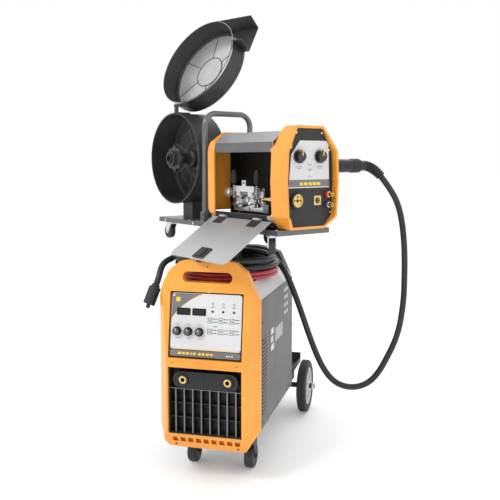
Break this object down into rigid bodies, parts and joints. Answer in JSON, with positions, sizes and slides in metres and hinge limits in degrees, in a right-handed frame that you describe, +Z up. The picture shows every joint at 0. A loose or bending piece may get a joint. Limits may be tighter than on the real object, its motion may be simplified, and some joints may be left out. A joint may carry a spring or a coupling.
{
  "type": "mig welder on cart",
  "caption": "Wheeled arc-welding power source with a swivelling wire feeder, drum lid and side door open, and its lead coiled on the roof.",
  "frame": {"origin": "on the floor, under the middle of the machine's box without its free cables", "axes": "+Z up, front control panel of the power source towards -Y, +X to its right as seen from the front"},
  "size_m": [0.9187, 0.9264, 1.4764],
  "materials": {
    "orange": "moulded orange plastic",
    "case_grey": "fine textured dark grey paint",
    "light_grey": "satin light grey paint",
    "chassis_black": "black powder coat",
    "black_plastic": "moulded black plastic",
    "panel_film": "printed dark face plate",
    "white_film": "printed pale face plate",
    "brass": "turned brass",
    "steel": "plain steel",
    "zinc": "bright zinc plate",
    "cast": "machined cast aluminium",
    "tyre": "ribbed solid rubber",
    "roller": "solid rubber wheel",
    "cable_black": "rubber cable sheath",
    "hose_red": "red braided hose",
    "core": "laminated core and winding"
  },
  "bodies": {
    "power_source": {"chassis": "chassis_black", "front_bezel": "orange", "rear_bezel": "black_plastic", "side_panel_left": "case_grey", "side_panel_right": "case_grey", "roof_panel": "light_grey", "control_panel": "panel_film", "front_grille": "black_plastic", "output_sockets": "brass", "power_module": "core", "swivel_post": "steel", "lead_cable": "cable_black", "lead_coil": "cable_black", "lead_tail": "cable_black", "lead_plug": "black_plastic", "hose_coil": "hose_red", "hose_coupler": "brass"},
    "feeder": {"feeder_base": "case_grey", "feeder_handle": "steel", "feeder_shell": "light_grey", "feeder_bezels": "orange", "feeder_panel": "white_film", "feeder_sockets": "brass", "drive_unit": "cast", "drum_base": "black_plastic", "lead_gland": "black_plastic"},
    "control_knob_1": {"control_knob_1": "black_plastic"},
    "control_knob_2": {"control_knob_2": "black_plastic"},
    "control_knob_3": {"control_knob_3": "black_plastic"},
    "mode_button_1": {"mode_button_1": "black_plastic"},
    "mode_button_2": {"mode_button_2": "black_plastic"},
    "mode_button_3": {"mode_button_3": "black_plastic"},
    "fan_rotor": {"fan_rotor": "black_plastic"},
    "main_switch": {"main_switch": "black_plastic"},
    "caster_fork_left": {"caster_fork_left": "zinc"},
    "caster_wheel_left": {"caster_wheel_left": "roller"},
    "rear_wheel_left": {"rear_wheel_left": "tyre"},
    "caster_fork_right": {"caster_fork_right": "zinc"},
    "caster_wheel_right": {"caster_wheel_right": "roller"},
    "rear_wheel_right": {"rear_wheel_right": "tyre"},
    "feeder_fork_rear": {"feeder_fork_rear": "zinc"},
    "feeder_wheel_rear": {"feeder_wheel_rear": "roller"},
    "feeder_fork_front": {"feeder_fork_front": "zinc"},
    "feeder_wheel_front": {"feeder_wheel_front": "roller"},
    "feeder_wheel_far_rear": {"feeder_wheel_far_rear": "roller"},
    "feeder_wheel_far_front": {"feeder_wheel_far_front": "roller"},
    "feeder_knob_left": {"feeder_knob_left": "black_plastic"},
    "feeder_knob_right": {"feeder_knob_right": "black_plastic"},
    "toggle_switch": {"toggle_switch": "zinc"},
    "drive_roll_rear": {"drive_roll_rear": "steel"},
    "drive_roll_front": {"drive_roll_front": "steel"},
    "pressure_arm": {"pressure_arm": "cast"},
    "pressure_roll_rear": {"pressure_roll_rear": "steel"},
    "pressure_roll_front": {"pressure_roll_front": "steel"},
    "tension_lever_rear": {"tension_lever_rear": "black_plastic"},
    "tension_lever_front": {"tension_lever_front": "black_plastic"},
    "spool_hub": {"spool_hub": "black_plastic"},
    "spool_lid": {"spool_lid": "black_plastic"},
    "side_door": {"side_door": "light_grey"},
    "door_latch": {"door_latch": "black_plastic"}
  },
  "joints": [
    {"name": "feeder_swivel", "type": "hinge", "parent": "power_source", "child": "feeder", "pos_m": [-0.07142, -0.06182, 0.765], "axis": [0, 0, 1], "range_deg": [-40, 40]},
    {"name": "control_knob_1_turn", "type": "hinge", "parent": "power_source", "child": "control_knob_1", "pos_m": [-0.16042, -0.37458, 0.474], "axis": [0, -0.9903, 0.1392], "range_deg": [-140, 140]},
    {"name": "control_knob_2_turn", "type": "hinge", "parent": "power_source", "child": "control_knob_2", "pos_m": [-0.12542, -0.37458, 0.474], "axis": [0, -0.9903, 0.1392], "range_deg": [-140, 140]},
    {"name": "control_knob_3_turn", "type": "hinge", "parent": "power_source", "child": "control_knob_3", "pos_m": [-0.09042, -0.37458, 0.474], "axis": [0, -0.9903, 0.1392], "range_deg": [-140, 140]},
    {"name": "mode_button_1_press", "type": "slide", "parent": "power_source", "child": "mode_button_1", "axis": [0, 0.9903, -0.1392], "range_m": [0, 0.0018], "stiffness_N_per_m": 200},
    {"name": "mode_button_2_press", "type": "slide", "parent": "power_source", "child": "mode_button_2", "axis": [0, 0.9903, -0.1392], "range_m": [0, 0.0018], "stiffness_N_per_m": 200},
    {"name": "mode_button_3_press", "type": "slide", "parent": "power_source", "child": "mode_button_3", "axis": [0, 0.9903, -0.1392], "range_m": [0, 0.0018], "stiffness_N_per_m": 200},
    {"name": "fan_spin", "type": "hinge", "parent": "power_source", "child": "fan_rotor", "pos_m": [-0.07142, 0.12118, 0.33], "axis": [0, 1, 0], "continuous": true},
    {"name": "main_switch_turn", "type": "hinge", "parent": "power_source", "child": "main_switch", "pos_m": [-0.16142, 0.18018, 0.5], "axis": [0, 1, 0], "range_deg": [0, 90]},
    {"name": "caster_swivel_left", "type": "hinge", "parent": "power_source", "child": "caster_fork_left", "pos_m": [-0.16642, -0.22682, 0.116], "axis": [0, 0, 1], "continuous": true},
    {"name": "caster_roll_left", "type": "hinge", "parent": "caster_fork_left", "child": "caster_wheel_left", "pos_m": [-0.16642, -0.20182, 0.039], "axis": [1, 0, 0], "continuous": true},
    {"name": "rear_wheel_roll_left", "type": "hinge", "parent": "power_source", "child": "rear_wheel_left", "pos_m": [-0.23942, 0.36318, 0.1], "axis": [1, 0, 0], "continuous": true},
    {"name": "caster_swivel_right", "type": "hinge", "parent": "power_source", "child": "caster_fork_right", "pos_m": [0.02358, -0.22682, 0.116], "axis": [0, 0, 1], "continuous": true},
    {"name": "caster_roll_right", "type": "hinge", "parent": "caster_fork_right", "child": "caster_wheel_right", "pos_m": [0.02358, -0.20182, 0.039], "axis": [1, 0, 0], "continuous": true},
    {"name": "rear_wheel_roll_right", "type": "hinge", "parent": "power_source", "child": "rear_wheel_right", "pos_m": [0.09658, 0.36318, 0.1], "axis": [1, 0, 0], "continuous": true},
    {"name": "feeder_caster_swivel_rear", "type": "hinge", "parent": "feeder", "child": "feeder_fork_rear", "pos_m": [-0.33326, 0.04183, 0.765], "axis": [0, 0, 1], "continuous": true},
    {"name": "feeder_caster_roll_rear", "type": "hinge", "parent": "feeder_fork_rear", "child": "feeder_wheel_rear", "pos_m": [-0.3427, 0.04923, 0.731], "axis": [-0.617, -0.7869, 0], "continuous": true},
    {"name": "feeder_caster_swivel_front", "type": "hinge", "parent": "feeder", "child": "feeder_fork_front", "pos_m": [0.11924, -0.32187, 0.765], "axis": [0, 0, 1], "continuous": true},
    {"name": "feeder_caster_roll_front", "type": "hinge", "parent": "feeder_fork_front", "child": "feeder_wheel_front", "pos_m": [0.11622, -0.31026, 0.731], "axis": [-0.9677, -0.2521, 0], "continuous": true},
    {"name": "feeder_wheel_roll_far_rear", "type": "hinge", "parent": "feeder", "child": "feeder_wheel_far_rear", "pos_m": [-0.24397, 0.17514, 0.731], "axis": [0.617, 0.7869, 0], "continuous": true},
    {"name": "feeder_wheel_roll_far_front", "type": "hinge", "parent": "feeder", "child": "feeder_wheel_far_front", "pos_m": [0.05034, -0.05563, 0.731], "axis": [0.617, 0.7869, 0], "continuous": true},
    {"name": "feeder_knob_turn_left", "type": "hinge", "parent": "feeder", "child": "feeder_knob_left", "pos_m": [0.19838, -0.32547, 0.997], "axis": [0.7869, -0.617, 0], "range_deg": [-140, 140]},
    {"name": "feeder_knob_turn_right", "type": "hinge", "parent": "feeder", "child": "feeder_knob_right", "pos_m": [0.24898, -0.26094, 0.997], "axis": [0.7869, -0.617, 0], "range_deg": [-140, 140]},
    {"name": "toggle_flip", "type": "hinge", "parent": "feeder", "child": "toggle_switch", "pos_m": [0.22115, -0.28995, 0.955], "axis": [0.617, 0.7869, 0], "range_deg": [0, 38.6]},
    {"name": "drive_roll_spin_rear", "type": "hinge", "parent": "feeder", "child": "drive_roll_rear", "pos_m": [-0.01926, -0.15736, 0.85], "axis": [0.617, 0.7869, 0], "continuous": true},
    {"name": "drive_roll_spin_front", "type": "hinge", "parent": "feeder", "child": "drive_roll_front", "pos_m": [0.02953, -0.19562, 0.85], "axis": [0.617, 0.7869, 0], "continuous": true},
    {"name": "pressure_arm_rock", "type": "hinge", "parent": "feeder", "child": "pressure_arm", "pos_m": [-0.00165, -0.18515, 0.914], "axis": [0.617, 0.7869, 0], "range_deg": [-1.5, 1.5]},
    {"name": "pressure_roll_spin_rear", "type": "hinge", "parent": "pressure_arm", "child": "pressure_roll_rear", "pos_m": [-0.01926, -0.15736, 0.8812], "axis": [0.617, 0.7869, 0], "continuous": true},
    {"name": "pressure_roll_spin_front", "type": "hinge", "parent": "pressure_arm", "child": "pressure_roll_front", "pos_m": [0.02953, -0.19562, 0.8812], "axis": [0.617, 0.7869, 0], "continuous": true},
    {"name": "tension_lever_swing_rear", "type": "hinge", "parent": "feeder", "child": "tension_lever_rear", "pos_m": [-0.04671, -0.14537, 0.844], "axis": [0.7869, -0.617, 0], "range_deg": [0, 60]},
    {"name": "tension_lever_swing_front", "type": "hinge", "parent": "feeder", "child": "tension_lever_front", "pos_m": [0.04772, -0.21941, 0.844], "axis": [0.7869, -0.617, 0], "range_deg": [0, 60]},
    {"name": "spool_hub_spin", "type": "hinge", "parent": "feeder", "child": "spool_hub", "pos_m": [-0.26662, 0.01499, 0.991], "axis": [0.617, 0.7869, 0], "continuous": true},
    {"name": "spool_lid_swing", "type": "hinge", "parent": "feeder", "child": "spool_lid", "pos_m": [-0.27696, -0.029, 1.173], "axis": [0.8241, -0.5664, 0], "range_deg": [0, 207]},
    {"name": "side_door_swing", "type": "hinge", "parent": "feeder", "child": "side_door", "pos_m": [0.00082, -0.24681, 0.809], "axis": [0.7869, -0.617, 0], "range_deg": [-123.7, 0]},
    {"name": "door_latch_turn", "type": "hinge", "parent": "side_door", "child": "door_latch", "pos_m": [-0.08442, -0.3604, 0.7083], "axis": [0.3424, 0.4366, -0.832], "range_deg": [0, 90]}
  ],
  "couplings": [
    {"joint": "drive_roll_spin_front", "follows": "drive_roll_spin_rear", "ratio": 1},
    {"joint": "pressure_roll_spin_rear", "follows": "drive_roll_spin_rear", "ratio": -1},
    {"joint": "pressure_roll_spin_front", "follows": "drive_roll_spin_rear", "ratio": -1}
  ]
}
